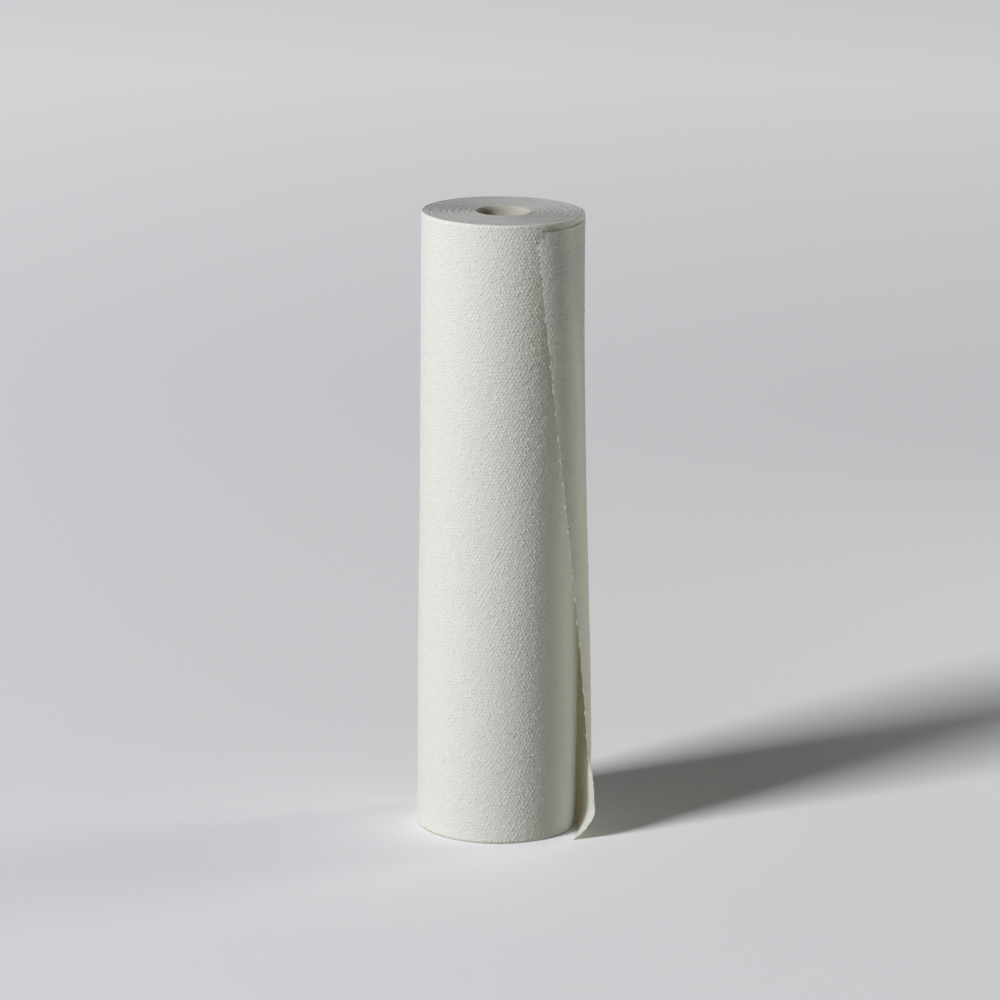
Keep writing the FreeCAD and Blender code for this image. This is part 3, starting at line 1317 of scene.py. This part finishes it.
    def slipped(self, places: Array, share: Array) -> Array:
        """The heights of points on the sheet, whose upper edge slopes down.

        Args:
            places: The points in plan.
            share: Their shares of the sheet's height.

        Returns:
            Their heights above the floor.
        """
        start = outward(self.root_bearing) * (self.radius + self.loft)
        reach = self.radius + self.edge_gap_top + self.loft
        run = outward(self.edge_bearing_top) * reach - start
        travelled = (places - start) @ run / (run @ run)
        slip = self.slip_root + (self.slip_edge - self.slip_root) * travelled
        return share * (self.length - slip)

    def measure(self, web: Web, sections: list[Section]) -> tuple[Array, Array, Array]:
        """Measure the flat web from the root.

        Args:
            web: The flat web.
            sections: The sheet's sections, from its lower edge to its upper.

        Returns:
            For each vertex its share of the height, how far along the web from the root
            it lies, and how far along the torn edge lies there.
        """
        column, share, _ = web.wanted()
        levels = np.linspace(0.0, 1.0, len(sections))
        widths = np.array([along[-1] for along, _, _ in sections])
        ends = self.torn_edge(share, np.interp(share, levels, widths))
        return share, (self.root_column - column) * self.column_width, ends

    def cut_out(self, sections: list[Section]) -> Web:
        """Lay out the flat web and cut off what lies beyond the torn edge.

        Args:
            sections: The sheet's sections.

        Returns:
            The flat web, with the dots marked.
        """
        first = self.root_column - math.ceil(self.widest / self.column_width)
        last = self.root_column + round(self.tuck_reach / FULL_TURN * self.raster.columns)
        web = self.raster.lay(first, last)
        _, along, ends = self.measure(web, sections)
        too_far = along > ends + self.column_width / 2.0
        beyond = [vertex for vertex, cut in zip(web.mesh.verts, too_far) if cut]
        bmesh.ops.delete(web.mesh, geom=beyond, context="VERTS")
        web.mark()
        return web

    def tear(self, web: Web, sections: list[Section]) -> tuple[Array, Array]:
        """Draw the vertices of the cut to the torn edge, and thicken its ties.

        Args:
            web: The flat web, cut out.
            sections: The sheet's sections.

        Returns:
            How far along the web each vertex now lies, and the weights of its thickness.
        """
        share, along, ends = self.measure(web, sections)
        on_cut = np.array([vertex.is_boundary for vertex in web.mesh.verts])
        at_corner = (share <= 0.0) | (share >= 1.0)
        behind = np.where(at_corner, self.corner_reach, self.cut_reach) * self.column_width
        torn = on_cut & (along > ends - behind)
        along = np.where(torn, ends, np.minimum(along, ends - self.spare * self.column_width))
        fluffy = np.where(torn, self.at_tie(share * self.length), 0.0)
        plain = self.thickness / self.fluff
        return along, plain + (1.0 - plain) * fluffy

    def bend(self, web: Web, sections: list[Section], along: Array) -> None:
        """Move the flat web's vertices to their places on the bent sheet.

        Args:
            web: The flat web, cut out.
            sections: The sheet's sections.
            along: How far along the web from the root each vertex lies.
        """
        _, share, relief = web.wanted()
        last = len(sections) - 1
        nearest = np.clip(np.round(share * last).astype(int), 0, last)
        plan = np.empty((len(share), 2))
        facing = np.empty_like(plan)
        for index, (run, points, faces) in enumerate(sections):
            mine = nearest == index
            for axis in range(2):
                plan[mine, axis] = np.interp(along[mine], run, points[:, axis])
                facing[mine, axis] = np.interp(along[mine], run, faces[:, axis])
        bearing = np.degrees(np.arctan2(plan[:, 0], -plan[:, 1]))
        clear = np.hypot(*plan.T) - self.radius - self.loft
        free = smooth_step(clear, *self.free_limits)
        height = self.slipped(plan, share)
        stray = relief + self.unevenness.at(bearing, height) * (1.0 - free)
        stray += self.flutter.at(bearing, height) * free
        plan += facing * stray[:, None]
        move_vertices(web.mesh, np.column_stack((plan, height)))

    def face_out(self, mesh: bmesh.types.BMesh) -> None:
        """Turn the sheet's faces away from the roll.

        Args:
            mesh: The bent sheet.
        """
        bmesh.ops.recalc_face_normals(mesh, faces=mesh.faces[:])
        middle = mesh.faces[:][len(mesh.faces) // 2]
        if middle.normal.xy.dot(middle.calc_center_median().xy) < 0.0:
            bmesh.ops.reverse_faces(mesh, faces=mesh.faces[:])

    def build(self, outside: bpy.types.Material, inside: bpy.types.Material) -> bpy.types.Object:
        """Cut the sheet to its torn edge, bend it to shape and give it its thickness.

        Args:
            outside: The finish of its outer face.
            inside: The finish of its inner face.

        Returns:
            The piece.
        """
        levels = np.linspace(0.0, 1.0, 2 * self.raster.rows + 1)
        sections = [self.section(level) for level in levels]
        web = self.cut_out(sections)
        mesh = web.mesh
        along, thickness = self.tear(web, sections)
        self.bend(web, sections, along)
        weights = mesh.verts.layers.deform.verify()
        for vertex, weight in zip(mesh.verts, thickness):
            vertex[weights][0] = weight
        bmesh.ops.dissolve_degenerate(mesh, dist=self.shortest_edge, edges=mesh.edges[:])
        for edge in mesh.edges:
            edge.smooth = not edge.is_boundary
        self.face_out(mesh)
        for face in mesh.faces:
            face.smooth = True

        piece = finish_piece(mesh, "loose_sheet", outside, inside)
        group = piece.vertex_groups.new(name="thickness")
        shell = piece.modifiers.new("thickness", "SOLIDIFY")
        shell.thickness = self.fluff
        shell.vertex_group = group.name
        shell.offset = -1.0
        shell.material_offset = 1
        return piece


# ---------------------------------------------------------------- core


@dataclass(frozen=True)
class BoardCore:
    """The tube that the web is wound on, wound itself from a slanting strip of board.

    Attributes:
        length: The length of the tube.
        bore_radius: The radius inside.
        outer_radius: The radius outside.
        strip_turns: How many times the strip goes round over the whole length.
        seam_depth: How deep the seam between its edges is.
        seam_width: How wide that seam is.
        seam_floor: How far from its middle the seam is still flat, as a share of its width.
        crowding: How much closer together the columns of faces stand beside the seam.
        waviness: How the bore strays from a true cylinder.
        columns: How many columns of faces go round.
        rows: How many rows of faces go along it.
        rounding: How far the cut edges are rounded.
        steepest: The z of a face's normal from which on it isn't shaded smooth.
    """

    length: float
    bore_radius: float
    outer_radius: float
    strip_turns: int = 4
    seam_depth: float = 0.3 * MM
    seam_width: float = 1.1 * MM
    seam_floor: float = 0.25
    crowding: float = 0.88
    waviness: Ripple = Ripple(height=0.05 * MM, lobes=4, along=9.0, seed=61)
    columns: int = 120
    rows: int = 160
    rounding: float = 0.25 * MM
    steepest: float = 0.4

    def bearings(self, column: Array) -> Array:
        """Where the columns stand, closer together beside the seam.

        Args:
            column: The columns.

        Returns:
            Their bearings at the lower end.
        """
        share = column / self.columns
        return FULL_TURN * (share - self.crowding * np.sin(2.0 * math.pi * share) / (2.0 * math.pi))

    def build(self, material: bpy.types.Material) -> bpy.types.Object:
        """Model the bore with its seam, the cut ends and the outer wall.

        Args:
            material: The finish of the board.

        Returns:
            The piece.
        """
        mesh = flat_grid(self.columns, self.rows)
        flat = vertex_array(mesh)
        height = self.rounding + (self.length - 2.0 * self.rounding) * flat[:, 1] / self.rows
        at_foot = self.bearings(flat[:, 0])
        from_seam = np.radians(np.minimum(at_foot, FULL_TURN - at_foot)) * self.bore_radius
        floor, edge = self.seam_floor * self.seam_width, 0.5 * self.seam_width
        groove = 1.0 - smooth_step(from_seam, floor, edge)
        reach = self.bore_radius + self.seam_depth * groove + self.waviness.at(at_foot, height)
        bearing = at_foot + FULL_TURN * self.strip_turns * flat[:, 1] / self.rows
        move_vertices(mesh, np.column_stack((outward(bearing) * reach[:, None], height)))
        weld(mesh)
        for end, inwards in ((0.0, 1.0), (self.length, -1.0)):
            rim = rim_edges(mesh, end)
            rim = pull_rim(mesh, rim, self.bore_radius + self.rounding, end)
            rim = pull_rim(mesh, rim, self.outer_radius - self.rounding, end)
            pull_rim(mesh, rim, self.outer_radius, end + inwards * self.rounding)
        close_tube(mesh, self.steepest)
        return finish_piece(mesh, "core_board", material)


# ---------------------------------------------------------------- studio


@dataclass(frozen=True)
class Lamp:
    """A soft lamp that looks at the middle of the roll.

    Attributes:
        name: Its name.
        bearing: Where it stands.
        elevation: How high it stands, as an angle.
        distance: How far away it is.
        width: How wide its face is.
        height: How high its face is.
        power: Its power in watts.
        spread: How wide its light fans out; a grid on its face narrows it.
        colour: The colour of its light.
    """

    name: str
    bearing: float
    elevation: float
    distance: float
    width: float
    height: float
    power: float
    spread: float = 180.0
    colour: Colour = (1.0, 1.0, 1.0)

    def light(self, target: Vector) -> None:
        """Put the lamp in the scene, turned towards a point.

        Args:
            target: The point.
        """
        data = bpy.data.lights.new(self.name, "AREA")
        data.shape = "RECTANGLE"
        data.size = self.width
        data.size_y = self.height
        data.energy = self.power
        data.spread = math.radians(self.spread)
        data.color = self.colour
        lamp = bpy.data.objects.new(self.name, data)
        raised = math.radians(self.elevation)
        level = outward(self.bearing) * math.cos(raised)
        away = Vector((level[0], level[1], math.sin(raised)))
        lamp.location = target + away * self.distance
        lamp.rotation_euler = away.to_track_quat("Z", "Y").to_euler()
        bpy.context.scene.collection.objects.link(lamp)


@dataclass(frozen=True)
class Viewpoint:
    """The camera.

    Attributes:
        distance: How far in front of the roll's axis it stands.
        height: How high it stands.
        pitch: How far it looks down.
        roll: How far it is turned about its own axis.
        lens: Its focal length in millimetres.
        frame: The width of its frame in millimetres.
        sight: How far it sees.
    """

    distance: float = 3.5009
    height: float = 1.1397
    pitch: float = 14.006
    roll: float = 0.665
    lens: float = 163.26
    frame: float = 36.0
    sight: float = 100.0

    def place(self) -> None:
        """Put the camera in the scene and make it the active one."""
        data = bpy.data.cameras.new("camera")
        data.lens = self.lens
        data.sensor_width = self.frame
        data.clip_end = self.sight
        camera = bpy.data.objects.new("camera", data)
        camera.rotation_euler = (
            Matrix.Rotation(math.radians(90.0 - self.pitch), 3, "X")
            @ Matrix.Rotation(math.radians(self.roll), 3, "Z")
        ).to_euler()
        camera.location = (0.0, -self.distance, self.height)
        bpy.context.scene.collection.objects.link(camera)
        bpy.context.scene.camera = camera


class Studio:
    """The camera, the floor, the lamps and the plain surroundings.

    Attributes:
        FLOOR_RADIUS: How far the floor reaches.
        FLOOR_SEGMENTS: How many edges it has.
        AMBIENT: The colour of the light that comes from all round.
        SURROUND: The colour that shows beyond the floor.
        LAMPS: The lamps.
    """

    FLOOR_RADIUS = 14.0
    FLOOR_SEGMENTS = 96
    AMBIENT: Colour = (0.019, 0.019, 0.017)
    SURROUND: Colour = (0.86, 0.88, 0.90)
    LAMPS = (
        Lamp(
            name="key",
            bearing=-54.0,
            elevation=35.0,
            distance=12.0,
            width=2.8,
            height=4.0,
            power=1280.0,
            colour=(1.0, 1.0, 1.03),
        ),
        Lamp(
            name="fill",
            bearing=112.0,
            elevation=9.0,
            distance=2.4,
            width=0.6,
            height=1.0,
            power=3.6,
            spread=80.0,
            colour=(1.0, 1.0, 0.95),
        ),
    )

    def lay_floor(self, finish: StudioPaper) -> None:
        """Lay a round floor under the roll.

        Args:
            finish: What it is made of.
        """
        mesh = bmesh.new()
        bmesh.ops.create_circle(
            mesh, cap_ends=True, segments=self.FLOOR_SEGMENTS, radius=self.FLOOR_RADIUS
        )
        floor = finish_piece(mesh, "floor", finish.material("studio_floor"))

    def surround(self) -> None:
        """Light the scene evenly from all round, and show a pale surround."""
        recipe = Recipe(bpy.data.worlds.new("surround"))
        seen = recipe.any_ray("Is Camera Ray", "Is Glossy Ray")
        around = recipe.add("Background", {"Color": self.AMBIENT})
        shown = recipe.add("Background", {"Color": self.SURROUND})
        shares = {0: seen, 1: around.outputs[0], 2: shown.outputs[0]}
        mixed = recipe.add("MixShader", shares)
        bpy.context.scene.world = recipe.finish(mixed.outputs[0])

    def set_up(self, target: Vector) -> None:
        """Build the whole studio.

        Args:
            target: The point that the lamps look at.
        """
        Viewpoint().place()
        self.lay_floor(StudioPaper())
        self.surround()
        for lamp in self.LAMPS:
            lamp.light(target)
        bpy.context.scene.view_settings.view_transform = "Standard"


# ---------------------------------------------------------------- the whole roll


def report(pieces: Iterable[bpy.types.Object]) -> None:
    """Log each piece with the number of its triangles.

    Args:
        pieces: The finished pieces.
    """
    graph = bpy.context.evaluated_depsgraph_get()
    for piece in pieces:
        data = piece.evaluated_get(graph).to_mesh()
        data.calc_loop_triangles()
        LOG.info("%s: %d triangles", piece.name, len(data.loop_triangles))


def main() -> None:
    """Build the roll and its studio, and log how many triangles each piece of the roll has."""
    logging.basicConfig(level=logging.INFO, format="%(name)s: %(message)s")
    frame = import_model()
    mounts = {mount["name"]: mount for mount in frame["record"]["mounts"]}
    bore_radius = mounts["core_bore"]["dims"]["r_mm"] * MM
    _, core_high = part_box("core_tube")
    roll_low, roll_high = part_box("paper_roll")
    length = roll_high.z - roll_low.z
    # The left side is clear of the loose sheet, so the turns' own radius is measured there.
    radius = round(-roll_low.x, 4)

    Studio().set_up(Vector((0.0, 0.0, length / 2.0)))
    raster = DotRaster()
    tissue = EmbossedTissue().material("embossed_tissue", Side.RAISED)
    edges = TurnEdges().material("turn_edges")
    board = CoreBoard().material("core_board")

    turns = WoundTurns(length, core_high.x, radius - OuterTurn.thickness).build(edges)
    outer = OuterTurn(length, radius, raster).build(tissue)
    sheet = LooseSheet(length, radius, raster).build(
        LOOSE_OUTSIDE.material("loose_tissue", Side.RAISED),
        LOOSE_INSIDE.material("loose_tissue_inside", Side.SUNK),
    )
    core = BoardCore(length, bore_radius, core_high.x).build(board)

    for piece in (turns, outer, sheet):
        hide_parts("paper_roll")
    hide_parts("core_tube")
    pieces = (turns, outer, sheet, core)
    for piece in pieces:
        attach(piece, "root")
    report(pieces)


if __name__ == "__main__":
    main()
